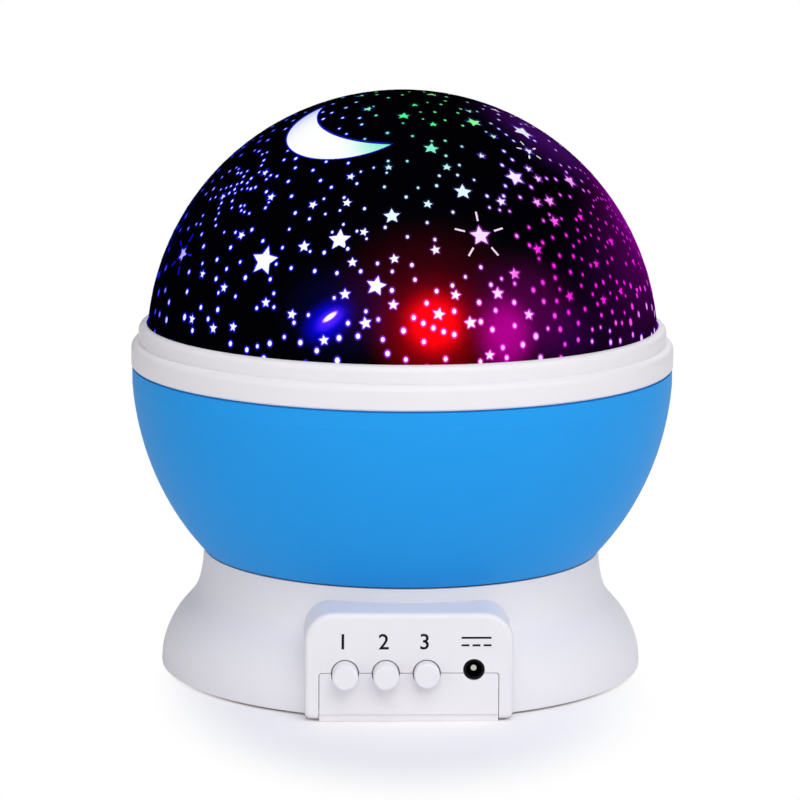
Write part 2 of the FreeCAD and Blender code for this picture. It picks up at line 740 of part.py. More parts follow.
def make_cover():
    floor_r = skirt_r - housing_wall - cover_gap
    cover = rod(floor_r, 0, cover_t)
    pocket_w = console_w / 2 - housing_wall - cover_gap
    cover = cover.fuse(box(-pocket_w, pocket_w, inner_wall_y + cover_gap, console_back_y, 0, cover_t))
    tab = box(-tab_w / 2, tab_w / 2, console_front_y, inner_wall_y, 0, tab_h)
    tab = tab.makeFillet(tab_corner_r, edges_along_y(tab, tab_h))
    tab_floor = box(-tab_w / 2, tab_w / 2, console_front_y, console_back_y, 0, cover_t)
    groove = box(-tab_w / 2, tab_w / 2, console_front_y, console_front_y + tab_step_depth, 0, tab_step_z)
    cover = cover.fuse([tab.cut(groove), tab_floor.cut(groove)])

    half_l = bay_length / 2 + bay_wall
    half_w = bay_width / 2 + bay_wall
    cover = cover.fuse(box(-half_l, half_l, -half_w, half_w, 0, bay_top_z + bay_roof))
    post = rod(post_r, 0, plate_z, post_ring_r)
    cover = cover.fuse(around(post, post_count, post_angle))
    board_posts = []
    for y in board_post_y:
        for x in (-board_post_x, board_post_x):
            board_posts.append(rod(board_post_r, 0, main_board_z, x, y))
    cover = cover.fuse(board_posts)

    cuts = [box(-bay_length / 2, bay_length / 2, -bay_width / 2, bay_width / 2, 0, bay_top_z)]
    cuts += around(rod(screw_r + screw_gap, 0, plate_z, post_ring_r), post_count, post_angle)
    cuts += around(rod(screw_head_r + screw_gap, 0, cover_screw_z + screw_head_h, post_ring_r),
                   post_count, post_angle)
    for x in (-board_post_x, board_post_x):
        cuts.append(rod(small_screw_r, cover_t, main_board_z, x, board_post_y[0]))
    pin_reach = bay_width / 2 - door_gap + door_pin_length + 0.2
    cuts.append(rod_y(door_pin_r + running_gap, -pin_reach, pin_reach, door_axis_x, door_axis_z))
    cuts.append(control_holes(console_front_y - 1, inner_wall_y))
    save("bottom_cover", cover.cut(solids(cuts)).removeSplitter())


def make_screws():
    seat_z = cover_screw_z + screw_head_h
    screw = rod(screw_r, seat_z, seat_z + cover_screw_length, post_ring_r)
    head = rod(screw_head_r, cover_screw_z, seat_z, post_ring_r)
    save("cover_screws", solids(around(screw.fuse(head), post_count, post_angle)))
    screws = []
    for x in (-board_post_x, board_post_x):
        shank = rod(small_screw_r, cover_t, main_board_top_z, x, board_post_y[0])
        head = rod(small_head_r, main_board_top_z, main_board_top_z + small_head_h, x, board_post_y[0])
        screws.append(shank.fuse(head))
    save("board_screws", solids(screws))


def make_door():
    x0 = -bay_length / 2 + door_gap
    half_w = bay_width / 2 - door_gap
    plate = box(x0, door_axis_x, -half_w, half_w, door_lift, door_lift + door_t)
    barrel = rod_y(door_barrel_r, -half_w, half_w, door_axis_x, door_axis_z)
    pins = rod_y(door_pin_r, -half_w - door_pin_length, half_w + door_pin_length,
                 door_axis_x, door_axis_z)
    door = plate.fuse([barrel, pins])
    thumb = rod(door_thumb_r, door_lift, door_lift + door_thumb_depth, x0 + 2, 0)
    save("battery_door", door.cut(thumb).removeSplitter())


def make_cells():
    nub_x = bay_length / 2 - contact_t
    for i in range(cell_count):
        y = (i - (cell_count - 1) / 2) * cell_pitch
        side = 1 if i % 2 == 0 else -1
        z = bay_top_z - cell_r
        can_x = nub_x - nub_h
        can = Part.makeCylinder(cell_r, cell_length, Vector(side * can_x, y, z), Vector(-side, 0, 0))
        nub = Part.makeCylinder(nub_r, nub_h, Vector(side * can_x, y, z), Vector(side, 0, 0))
        save("cell_" + str(i + 1), can.fuse(nub))


def make_contacts():
    plates = []
    leaves = []
    wall_x = bay_length / 2
    for i in range(cell_count):
        y = (i - (cell_count - 1) / 2) * cell_pitch
        side = 1 if i % 2 == 0 else -1
        z = bay_top_z - cell_r
        low = z - contact_h / 2
        high = z + contact_h / 2
        for end in (-1, 1):
            x0, x1 = sorted([end * wall_x, end * (wall_x - contact_t)])
            plates.append(box(x0, x1, y - contact_w / 2, y + contact_w / 2, low, high))
        foot_x = -side * (wall_x - contact_t)
        tip_x = foot_x + side * leaf_reach
        back_x = tip_x - side * contact_t
        inner_x = foot_x + side * contact_t
        corners = [(foot_x, low), (inner_x, low), (tip_x, z - leaf_tip_low), (tip_x, z + leaf_tip_high)]
        corners += [(back_x, z + leaf_tip_high), (back_x, z - leaf_tip_low), (foot_x, low + leaf_bend)]
        wire = Part.makePolygon([Vector(x, y - leaf_w / 2, h) for x, h in corners + corners[:1]])
        leaves.append(Part.Face(wire).extrude(Vector(0, leaf_w, 0)))
    save("contact_plates", solids(plates))
    save("contact_leaves", solids(leaves))


# Lamps and electronics

def make_lamps():
    board_top_z = column_top_z + board_t
    save("lamp_board", rod(lamp_board_r, column_top_z, board_top_z))
    colours = ["white", "red", "green", "blue"]
    for i, colour in enumerate(colours):
        angle = math.radians(90 * i + 45)
        x = lamp_ring_r * math.cos(angle)
        y = lamp_ring_r * math.sin(angle)
        body = rod(lamp_flange_r, board_top_z, board_top_z + lamp_flange_h, x, y)
        tip_z = board_top_z + lamp_h - lamp_r
        stem = rod(lamp_r, board_top_z, tip_z, x, y)
        tip = Part.makeSphere(lamp_r, Vector(x, y, tip_z))
        save("lamp_" + colour, body.fuse([stem, tip]).removeSplitter())


def make_electronics():
    half_w = main_board_w / 2
    board = box(-half_w, half_w, main_board_front_y, main_board_back_y, main_board_z, main_board_top_z)
    holes = [rod(small_screw_r, main_board_z, main_board_top_z, x, board_post_y[0])
             for x in (-board_post_x, board_post_x)]
    save("main_board", board.cut(solids(holes)))
    save("controller_chip", box(chip_x, chip_x + chip_l, chip_y, chip_y + chip_w,
                                main_board_top_z, main_board_top_z + chip_h))
    socket = box(half_w - socket_l, half_w, socket_y - socket_w / 2, socket_y + socket_w / 2,
                 main_board_top_z, main_board_top_z + socket_h)
    save("board_socket", socket)


def make_controls():
    for i, x in enumerate(button_x):
        name = str(i + 1)
        front_y = console_front_y - button_proud[i]
        rest_y = console_front_y - button_proud[0]
        pressed = front_y - rest_y
        flange_y = inner_wall_y + button_clear + pressed
        back_y = flange_y + button_flange_t
        cap = rod_y(button_r, front_y, back_y, x, control_z)
        rim = [e for e in cap.Edges if abs(e.BoundBox.YMax - front_y) < 0.01]
        cap = cap.makeFillet(button_edge_r, rim)
        cap = cap.fuse(rod_y(button_flange_r, flange_y, back_y, x, control_z))
        save("button_" + name, cap.removeSplitter())
        save("plunger_" + name, rod_y(plunger_r, back_y, back_y + plunger_length, x, control_z))
        half_w = switch_w / 2
        body = box(x - half_w, x + half_w, switch_front_y, switch_front_y + switch_depth,
                   main_board_top_z, control_z + switch_rise)
        bore = rod_y(plunger_r + running_gap, switch_front_y, switch_front_y + switch_bore_depth,
                     x, control_z)
        save("switch_" + name, body.cut(bore))


def make_jack():
    nose_y = console_front_y + jack_recess
    half_w = jack_body_w / 2
    body = box(jack_x - half_w, jack_x + half_w, inner_wall_y + jack_body_gap, jack_back_y,
               main_board_top_z, jack_z + jack_rise)
    body = body.fuse(rod_y(jack_nose_r, nose_y, inner_wall_y + jack_body_gap, jack_x, jack_z))
    bore = rod_y(jack_bore_r, nose_y, nose_y + jack_bore_depth, jack_x, jack_z)
    save("charging_jack", body.cut(bore).removeSplitter())
    pin = rod_y(jack_pin_r, nose_y + jack_pin_recess, nose_y + jack_bore_depth, jack_x, jack_z)
    save("jack_contact", pin)


# Wires: straight runs joined by tangent arcs

def wire_along(points, bend_r):
    edges = []
    start = points[0]
    for i in range(1, len(points) - 1):
        corner = points[i]
        back = (points[i - 1] - corner).normalize()
        ahead = (points[i + 1] - corner).normalize()
        turn = math.pi - back.getAngle(ahead)
        cut = bend_r * math.tan(turn / 2)
        bisector = (back + ahead).normalize()
        first = corner + back * cut
        last = corner + ahead * cut
        middle = corner + bisector * (bend_r / math.cos(turn / 2) - bend_r)
        edges.append(Part.makeLine(start, first))
        edges.append(Part.Arc(first, middle, last).toShape())
        start = last
    edges.append(Part.makeLine(start, points[-1]))
    path = Part.Wire(edges)
    circle = Part.Wire(Part.makeCircle(wire_r, points[0], points[1] - points[0]))
    return path.makePipeShell([circle], True, False)


def make_wires():
    lamp_wires = []
    board_y = board_post_y[0]
    for i in range(4):
        x = (i - 1.5) * lamp_wire_pitch
        points = [Vector(x, board_y, main_board_top_z), Vector(x, board_y, lamp_wire_z),
                  Vector(x, 0, lamp_wire_z), Vector(x, 0, column_top_z)]
        lamp_wires.append(wire_along(points, wire_bend_r))
    save("lamp_wires", solids(lamp_wires))

    leads = []
    wall_y = -bay_width / 2 - bay_wall
    for x in lead_x:
        points = [Vector(x, wall_y, lead_z), Vector(x, board_y, lead_z), Vector(x, board_y, main_board_top_z)]
        leads.append(wire_along(points, lead_bend_r))
    save("battery_leads", solids(leads))

    leads = []
    for z in motor_lead_z:
        points = [Vector(motor_x + motor_r + lead_end_gap, motor_y, z)]
        points += [Vector(x, y, z) for x, y in motor_lead_points]
        points.append(Vector(main_board_w / 2, socket_y, z))
        leads.append(wire_along(points, motor_lead_bend_r))
    save("motor_leads", solids(leads))


os.makedirs("parts", exist_ok=True)
make_dome()
make_collar()
make_rim()
make_bowl()
make_turntable()
make_drive()
make_housing()
make_cover()
make_screws()
make_door()
make_cells()
make_contacts()
make_lamps()
make_electronics()
make_controls()
make_jack()
make_wires()
print("overall height", round(dome_top_z, 2), "mm, overall diameter", 2 * rim_r, "mm")
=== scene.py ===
import math
import random

import bmesh
import bpy
from mathutils import Matrix, Vector
from mathutils.bvhtree import BVHTree


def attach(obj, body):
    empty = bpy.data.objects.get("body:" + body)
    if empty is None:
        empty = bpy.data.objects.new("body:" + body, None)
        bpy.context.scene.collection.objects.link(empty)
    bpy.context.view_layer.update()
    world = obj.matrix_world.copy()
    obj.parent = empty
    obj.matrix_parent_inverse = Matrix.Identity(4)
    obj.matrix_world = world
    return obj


# Star night light on a white table. Metres, +Z up, the console looks towards -Y.

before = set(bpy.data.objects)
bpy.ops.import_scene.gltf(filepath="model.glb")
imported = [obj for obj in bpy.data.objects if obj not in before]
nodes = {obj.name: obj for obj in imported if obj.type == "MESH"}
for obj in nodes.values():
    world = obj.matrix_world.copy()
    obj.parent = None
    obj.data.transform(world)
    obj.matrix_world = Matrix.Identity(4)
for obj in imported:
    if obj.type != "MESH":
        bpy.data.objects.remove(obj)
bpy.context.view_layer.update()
mm = 0.001


# Small helpers

def linear(hexColour):
    def channel(pair):
        c = int(pair, 16) / 255
        return c / 12.92 if c <= 0.04045 else ((c + 0.055) / 1.055) ** 2.4
    return [channel(hexColour[i:i + 2]) for i in (0, 2, 4)] + [1.0]


def addNode(tree, kind, settings=(), links=()):
    node = tree.nodes.new(kind)
    for key, value in dict(settings).items():
        if key in node.inputs:
            node.inputs[key].default_value = value
        else:
            setattr(node, key, value)
    for socket, source in dict(links).items():
        tree.links.new(source, node.inputs[socket])
    return node


def newMaterial(name):
    material = bpy.data.materials.new(name)
    material.use_nodes = True
    tree = material.node_tree
    tree.nodes.clear()
    return material, tree


def closeMaterial(tree, surface, height=None, lift=0.0):
    addNode(tree, "ShaderNodeOutputMaterial", links={"Surface": surface.outputs[0]})
    if height is not None:
        bump = addNode(tree, "ShaderNodeBump", {"Strength": 0.6, "Distance": lift}, {"Height": height})
        tree.links.new(bump.outputs["Normal"], surface.inputs["Normal"])


def meshPiece(name, bm, material, body, smooth=True):
    mesh = bpy.data.meshes.new(name)
    bm.to_mesh(mesh)
    bm.free()
    for face in mesh.polygons:
        face.use_smooth = smooth
    piece = bpy.data.objects.new(name, mesh)
    bpy.context.scene.collection.objects.link(piece)
    mesh.materials.append(material)
    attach(piece, body)


# Plastics

def mouldedPlastic(name, colour, shade, roughness, gloss=0.25, speckMm=0.5, lift=0.006 * mm):
    # Injection-moulded ABS: even colour, a soft sheen and a skin so finely textured that it only
    # breaks up the edges of its highlights.
    material, tree = newMaterial(name)
    place = addNode(tree, "ShaderNodeTexCoord")
    flow = addNode(tree, "ShaderNodeTexNoise", {"Scale": 1 / (18 * mm), "Detail": 2.0},
                   {"Vector": place.outputs["Object"]})
    tone = addNode(tree, "ShaderNodeMix", {"data_type": "RGBA"}, {0: flow.outputs["Fac"]})
    tone.inputs[6].default_value = linear(colour)
    tone.inputs[7].default_value = linear(shade)
    grain = addNode(tree, "ShaderNodeTexNoise", {"Scale": 1 / (speckMm * mm), "Detail": 3.0},
                    {"Vector": place.outputs["Object"]})
    sheen = addNode(tree, "ShaderNodeMapRange", {"To Min": roughness - 0.05, "To Max": roughness + 0.05},
                    {"Value": grain.outputs["Fac"]})
    shader = addNode(tree, "ShaderNodeBsdfPrincipled", {"IOR": 1.53, "Specular IOR Level": gloss},
                     {"Base Color": tone.outputs[2], "Roughness": sheen.outputs["Result"]})
    closeMaterial(tree, shader, grain.outputs["Fac"], lift)
    return material


def clearStyrene():
    # Clear moulded polystyrene: colourless and glossy, seen only where the dome is opened.
    material, tree = newMaterial("clearStyrene")
    place = addNode(tree, "ShaderNodeTexCoord")
    flow = addNode(tree, "ShaderNodeTexNoise", {"Scale": 1 / (25 * mm)},
                   {"Vector": place.outputs["Object"]})
    sheen = addNode(tree, "ShaderNodeMapRange", {"To Min": 0.04, "To Max": 0.08},
                    {"Value": flow.outputs["Fac"]})
    shader = addNode(tree, "ShaderNodeBsdfPrincipled",
                     {"IOR": 1.59, "Transmission Weight": 0.9, "Base Color": linear("F4F6FA")},
                     {"Roughness": sheen.outputs["Result"]})
    closeMaterial(tree, shader)
    return material


def metal(name, colour, roughness, grainMm, stretch=(1, 1, 1)):
    # Drawn or plated steel: fine lines along one way that spread its highlights.
    material, tree = newMaterial(name)
    place = addNode(tree, "ShaderNodeTexCoord")
    turn = addNode(tree, "ShaderNodeMapping", {"Scale": stretch}, {"Vector": place.outputs["Object"]})
    grain = addNode(tree, "ShaderNodeTexNoise", {"Scale": 1 / (grainMm * mm), "Detail": 4.0},
                    {"Vector": turn.outputs["Vector"]})
    sheen = addNode(tree, "ShaderNodeMapRange", {"To Min": roughness - 0.08, "To Max": roughness + 0.08},
                    {"Value": grain.outputs["Fac"]})
    shader = addNode(tree, "ShaderNodeBsdfPrincipled", {"Metallic": 1.0, "Base Color": linear(colour)},
                     {"Roughness": sheen.outputs["Result"]})
    closeMaterial(tree, shader, grain.outputs["Fac"], 0.004 * mm)
    return material


def epoxyLens(name, colour, glow):
    # Cast epoxy lamp body, lit from inside.
    material, tree = newMaterial(name)
    place = addNode(tree, "ShaderNodeTexCoord")
    cloud = addNode(tree, "ShaderNodeTexNoise", {"Scale": 1 / (2 * mm)},
                    {"Vector": place.outputs["Object"]})
    sheen = addNode(tree, "ShaderNodeMapRange", {"To Min": 0.08, "To Max": 0.16},
                    {"Value": cloud.outputs["Fac"]})
    shader = addNode(tree, "ShaderNodeBsdfPrincipled",
                     {"IOR": 1.5, "Base Color": linear(colour), "Emission Color": linear(colour),
                      "Emission Strength": glow}, {"Roughness": sheen.outputs["Result"]})
    closeMaterial(tree, shader)
    return material


def glassFibreBoard():
    # Glass-fibre circuit board under green lacquer: a weave shows through it, drawn at 0.8 mm.
    material, tree = newMaterial("glassFibreBoard")
    place = addNode(tree, "ShaderNodeTexCoord")
    weave = addNode(tree, "ShaderNodeTexChecker",
                    {"Scale": 1 / (0.8 * mm), "Color1": linear("0E5A32"), "Color2": linear("0B4F2C")},
                    {"Vector": place.outputs["Object"]})
    shader = addNode(tree, "ShaderNodeBsdfPrincipled", {"IOR": 1.5, "Roughness": 0.32},
                     {"Base Color": weave.outputs["Color"]})
    closeMaterial(tree, shader, weave.outputs["Fac"], 0.01 * mm)
    return material


def cellSleeve():
    # Shrink-wrapped PVC sleeve of a dry cell: green with a copper-coloured band at one end.
    material, tree = newMaterial("cellSleeve")
    place = addNode(tree, "ShaderNodeTexCoord")
    axis = addNode(tree, "ShaderNodeSeparateXYZ", links={"Vector": place.outputs["Object"]})
    band = addNode(tree, "ShaderNodeMath", {"operation": "GREATER_THAN"}, {0: axis.outputs["X"]})
    band.inputs[1].default_value = 12 * mm
    tone = addNode(tree, "ShaderNodeMix", {"data_type": "RGBA"}, {0: band.outputs[0]})
    tone.inputs[6].default_value = linear("1E6B3A")
    tone.inputs[7].default_value = linear("B8753E")
    shader = addNode(tree, "ShaderNodeBsdfPrincipled", {"IOR": 1.53, "Roughness": 0.3},
                     {"Base Color": tone.outputs[2]})
    closeMaterial(tree, shader)
    return material


# Dome: painted light of the four lamps, as it would come through the windows and through the dark coat

domeShape = {
    "centreZ": 74.7,
    "coatR": 59.0,
    "filmR": 58.82,
    "footZ": 77.1,
    # faces of the lit layer round the dome and up it
    "filmTurns": 180,
    "filmRows": 46,
    # how near to its radius a point of the coat's outer face lies
    "faceSlack": 0.02,
    # a loop whose middle lies lower than this share of the radius is the coat's foot, not a window
    "windowFrom": 0.8,
}
domeCentre = Vector((0, 0, domeShape["centreZ"] * mm))
coatR = domeShape["coatR"] * mm

# Painted lamp light of the windows and of the light bled round them, as emission colours
lampLight = {
    "coreGlow": 1.0,
    "haloGlow": 1.0,
    # azimuth, elevation, spread in degrees, window colour, halo colour
    "lobes": [
        (-96, 30, 17, "1414FF", "0505C8"), (-88, 8, 15, "1414FA", "0505BE"),
        (-82, 52, 9, "2828FF", "0A0AE6"), (-84, 68, 6, "3C50FF", "0A14DC"),
        (-60, 41, 10, "FAFAFF", "1E1EFF"), (-67, 24, 5, "C8B4FF", "1414FF"),
        (-56, 12, 11, "FAFAFF", "1E1EFF"), (-37, 24, 12, "FFFFFF", "1E1EFF"),
        (-42, 54, 12, "FFFFFF", "1428FF"), (-58, 70, 7, "FFFFFF", "1428FF"),
        (-18, 34, 11, "FFFFFF", "0F0F78"), (-14, 12, 11, "FFFFFF", "5A32FF"),
        (-9, 60, 5, "78F0D2", "0A5A6E"), (-24, 78, 6, "5AF0B4", "02283C"),
        (-2, 72, 8, "46FA96", "02281E"), (9, 56, 7, "6EF0CD", "02281E"),
        (40, 84, 12, "28FF50", "01280A"), (34, 68, 10, "46FF6E", "022814"),
        (2, 44, 9, "D2FAFA", "023246"), (14, 46, 7, "EBFAFF", "1E2864"),
        (18, 32, 6, "FADCFF", "A01EC8"), (3, 26, 8, "FFFAFF", "6E1E78"),
        (4, 12, 9, "FFFFFF", "FF3CE6"), (34, 50, 7, "FAF5FF", "783CE6"),
        (42, 41, 5, "FAC8FF", "B428D2"), (60, 60, 8, "F0FAFF", "5A28F0"),
        (62, 46, 6, "F5C8FF", "A01EDC"), (44, 34, 8, "FF32F0", "780A78"),
        (36, 24, 8, "FF28E6", "8C0F8C"), (50, 25, 12, "FF14E6", "500A50"),
        (64, 22, 12, "FF14E6", "500A50"), (74, 38, 11, "F028F0", "500A64"),
        (46, 15, 8, "FF1EE6", "5A0A5A"), (58, 33, 8, "FF14E6", "500A50"),
        (22, 12, 6, "FFE6FF", "F03CFF"), (48, 4, 5, "FFFFFF", "8C32FF"),
        (70, 3, 7, "FAF0FF", "6E1EFF"), (86, 30, 9, "DC32F0", "500A64"),
        (98, 20, 16, "B428D2", "3C0A50"),
        (128, 40, 20, "FF5A5A", "961414"), (158, 20, 20, "FFFFFF", "D23C3C"),
        (150, 66, 18, "FFE070", "6E460A"), (-172, 40, 20, "50F078", "0A6E28"),
        (-146, 18, 20, "FFFFFF", "3CC85A"), (-140, 56, 18, "70F0E0", "0A646E"),
        (-114, 30, 16, "5096FF", "1432DC"), (88, 66, 14, "E8C8FF", "5A1E96"),
    ],
}


def direction(azimuth, elevation):
    a, e = math.radians(azimuth), math.radians(elevation)
    return Vector((math.cos(e) * math.sin(a), -math.cos(e) * math.cos(a), math.sin(e)))


lobeTable = [(direction(a, e), math.radians(w), linear(core), linear(halo))
             for a, e, w, core, halo in lampLight["lobes"]]


def lampTint(way, which):
    total, colour = 0.0, [0.0, 0.0, 0.0]
    for lobeWay, width, core, halo in lobeTable:
        weight = math.exp(-(way.angle(lobeWay) / width) ** 2) + 1e-9
        source = core if which == "core" else halo
        for i in range(3):
            colour[i] += weight * source[i]
        total += weight
    return [c / total for c in colour] + [1.0]


def litFilm():
    # Clear window in the dome, lit from behind: its light is painted on as emission and stored on its
    # points.
    material, tree = newMaterial("litFilm")
    tint = addNode(tree, "ShaderNodeAttribute", {"attribute_name": "lampTint"})
    shader = addNode(tree, "ShaderNodeBsdfPrincipled",
                     {"Base Color": linear("060608"), "Roughness": 0.4, "Specular IOR Level": 0.0,
                      "Emission Strength": lampLight["coreGlow"]},
                     {"Emission Color": tint.outputs["Color"]})
    closeMaterial(tree, shader)
    return material


# Painted lamp light on the dark coat: soft coloured patches that the coat's material emits.
coatGlow = {
    # azimuth, elevation, radius in mm, height share, tilt in degrees, colour, strength
    "spots": [
        (5, 14, 9.5, 1.0, 0, "FF0404", 1.2), (5, 12, 17.0, 1.0, 0, "AA0006", 0.65),
        (4, 20, 26.0, 0.8, 0, "50000F", 0.5), (-18, 15, 2.5, 0.3, 38, "FFD2F0", 3.0),
        (-18, 14.5, 5.0, 0.5, 38, "6428FF", 0.8), (-18.5, 14, 8.5, 0.66, 38, "0505FF", 0.8),
        (-16, 16, 17.0, 0.8, 0, "050546", 0.5), (21, 11, 9.5, 1.25, 0, "C800A0", 0.7),
        (26, 16, 18.0, 0.9, 0, "5A0050", 0.6), (36, 10, 14.0, 0.8, 0, "3C0050", 0.45),
        (62, 16, 30.0, 1.0, 0, "280032", 0.8), (94, 28, 26.0, 1.0, 0, "8C0096", 0.95),
        (78, 26, 28.0, 1.0, 0, "500050", 0.6),
        (80, 56, 23.0, 1.0, 0, "3C0A5A", 0.9), (94, 8, 20.0, 1.0, 0, "6400A0", 0.9),
        (-98, 26, 22.0, 1.0, 0, "0A0A5A", 0.7), (150, 14, 18.0, 1.0, 0, "8C0A0A", 0.5),
        (-150, 14, 18.0, 1.0, 0, "056414", 0.5),
    ],
}


def coatTint(spot):
    # Painted glow of the coat at one place, as the coat's material mixes it.
    colour = [0.0, 0.0, 0.0]
    for azimuth, elevation, radius, share, tilt, tone, strength in coatGlow["spots"]:
        way = direction(azimuth, elevation)
        arm = Matrix.Rotation(math.radians(-tilt), 3, way) @ (spot.normalized() - way) * coatR
        t = min(1.0, Vector((arm.x, arm.y, arm.z / share)).length / (radius * mm))
        fall = strength * (1 - t * t * t * (t * (t * 6 - 15) + 10))
        colour = [c + fall * k for c, k in zip(colour, linear(tone))]
    return colour


def bledTint(spot, bleed, share):
    return [g + share * b for g, b in zip(coatTint(spot), bleed)] + [1.0]


def smokedCoat():
    # Dark ink coat baked on the dome: near black with a low sheen, and thin enough that the lamps behind
    # it glow through; that glow is painted on as emission in soft coloured patches.
    material, tree = newMaterial("smokedCoat")
    place = addNode(tree, "ShaderNodeTexCoord")
    glow = None
    for azimuth, elevation, radius, share, tilt, colour, strength in coatGlow["spots"]:
        way = direction(azimuth, elevation)
        shift = addNode(tree, "ShaderNodeVectorMath", {"operation": "SUBTRACT"},
                        {0: place.outputs["Object"]})
        shift.inputs[1].default_value = domeCentre + way * coatR
        turn = addNode(tree, "ShaderNodeVectorRotate",
                       {"rotation_type": "AXIS_ANGLE", "Axis": way, "Angle": math.radians(-tilt)},
                       {"Vector": shift.outputs[0]})
        size = addNode(tree, "ShaderNodeVectorMath", {"operation": "DIVIDE"}, {0: turn.outputs[0]})
        size.inputs[1].default_value = (radius * mm, radius * mm, radius * share * mm)
        reach = addNode(tree, "ShaderNodeVectorMath", {"operation": "LENGTH"}, {0: size.outputs[0]})
        fall = addNode(tree, "ShaderNodeMapRange",
                       {"interpolation_type": "SMOOTHERSTEP", "From Min": 0.0, "From Max": 1.0,
                        "To Min": strength, "To Max": 0.0}, {"Value": reach.outputs["Value"]})
        tint = addNode(tree, "ShaderNodeVectorMath", {"operation": "SCALE"},
                       {"Scale": fall.outputs["Result"]})
        tint.inputs[0].default_value = linear(colour)[:3]
        if glow is None:
            glow = tint
        else:
            glow = addNode(tree, "ShaderNodeVectorMath", {"operation": "ADD"},
                           {0: glow.outputs[0], 1: tint.outputs[0]})
    # One noise mottles the painted glow and varies the roughness.
    glowAndRoughnessNoise = addNode(tree, "ShaderNodeTexNoise", {"Scale": 1 / (1.6 * mm), "Detail": 4.0, "Roughness": 0.7},
                   {"Vector": place.outputs["Object"]})
    cloud = addNode(tree, "ShaderNodeMapRange",
                    {"From Min": 0.3, "From Max": 0.7, "To Min": 0.88, "To Max": 1.12},
                    {"Value": glowAndRoughnessNoise.outputs["Fac"]})
    mottled = addNode(tree, "ShaderNodeVectorMath", {"operation": "SCALE"},
                      {0: glow.outputs[0], "Scale": cloud.outputs["Result"]})
    sheen = addNode(tree, "ShaderNodeMapRange", {"To Min": 0.25, "To Max": 0.4},
                    {"Value": glowAndRoughnessNoise.outputs["Fac"]})
    shader = addNode(tree, "ShaderNodeBsdfPrincipled",
                     {"Base Color": linear("020205"), "Specular IOR Level": 0.0, "Emission Strength": 1.0},
                     {"Roughness": sheen.outputs["Result"], "Emission Color": mottled.outputs[0]})
    closeMaterial(tree, shader)
    return material


def haloInk():
    # Painted light that bleeds a little way round each window: bright at its edge and gone at the rim.
    material, tree = newMaterial("haloInk")
    tint = addNode(tree, "ShaderNodeAttribute", {"attribute_name": "lampTint"})
    shader = addNode(tree, "ShaderNodeBsdfPrincipled",
                     {"Base Color": linear("020205"), "Roughness": 0.3, "Specular IOR Level": 0.0,
                      "Emission Strength": lampLight["haloGlow"]},
                     {"Emission Color": tint.outputs["Color"]})
    closeMaterial(tree, shader)
    return material


def buildWindowFilm(material):
    # One lit layer just under the coat fills every star and the moon.
    bm = bmesh.new()
    layer = bm.verts.layers.float_color.new("lampTint")
    filmR = domeShape["filmR"] * mm
    lowest = math.asin((domeShape["footZ"] - domeShape["centreZ"]) / domeShape["filmR"])
    turns, rows = domeShape["filmTurns"], domeShape["filmRows"]
    rings = []
    for row in range(rows):
        elevation = math.degrees(lowest + (math.pi / 2 - lowest) * row / rows)
        ring = []
        for step in range(turns):
            way = direction(360 * step / turns, elevation)
            vert = bm.verts.new(domeCentre + way * filmR)
            vert[layer] = lampTint(way, "core")
            ring.append(vert)
        rings.append(ring)
    top = bm.verts.new(domeCentre + Vector((0, 0, filmR)))
    top[layer] = lampTint(Vector((0, 0, 1)), "core")
    for low, high in zip(rings, rings[1:]):
        for i in range(turns):
            j = (i + 1) % turns
            bm.faces.new((low[i], low[j], high[j], high[i]))
    for i in range(turns):
        bm.faces.new((rings[-1][i], rings[-1][(i + 1) % turns], top))
    meshPiece("windowFilm", bm, material, "dome")


def windowLoops():
    # Outlines of the stars and the moon, as the coat's outer face has them, the coat on their left.
    coat = nodes["star_mask"].data
    spots = [v.co - domeCentre for v in coat.vertices]
    names = [tuple(round(c, 7) for c in spot) for spot in spots]
    outside = [abs(spot.length - coatR) < domeShape["faceSlack"] * mm for spot in spots]
    edges = set()
    for face in coat.polygons:
        ring = list(face.vertices)
        if all(outside[i] for i in ring):
            edges.update(zip([names[i] for i in ring], [names[i] for i in ring[1:] + ring[:1]]))
    following = {a: b for a, b in edges if (b, a) not in edges}
    loops = []
    while following:
        start, spot = following.popitem()
        loop = [Vector(start)]
        while spot != start and spot in following:
            loop.append(Vector(spot))
            spot = following.pop(spot)
        middle = sum(loop, Vector()) / len(loop)
        if middle.length > domeShape["windowFrom"] * coatR:
            loops.append((middle.normalized(), loop))
    return loops


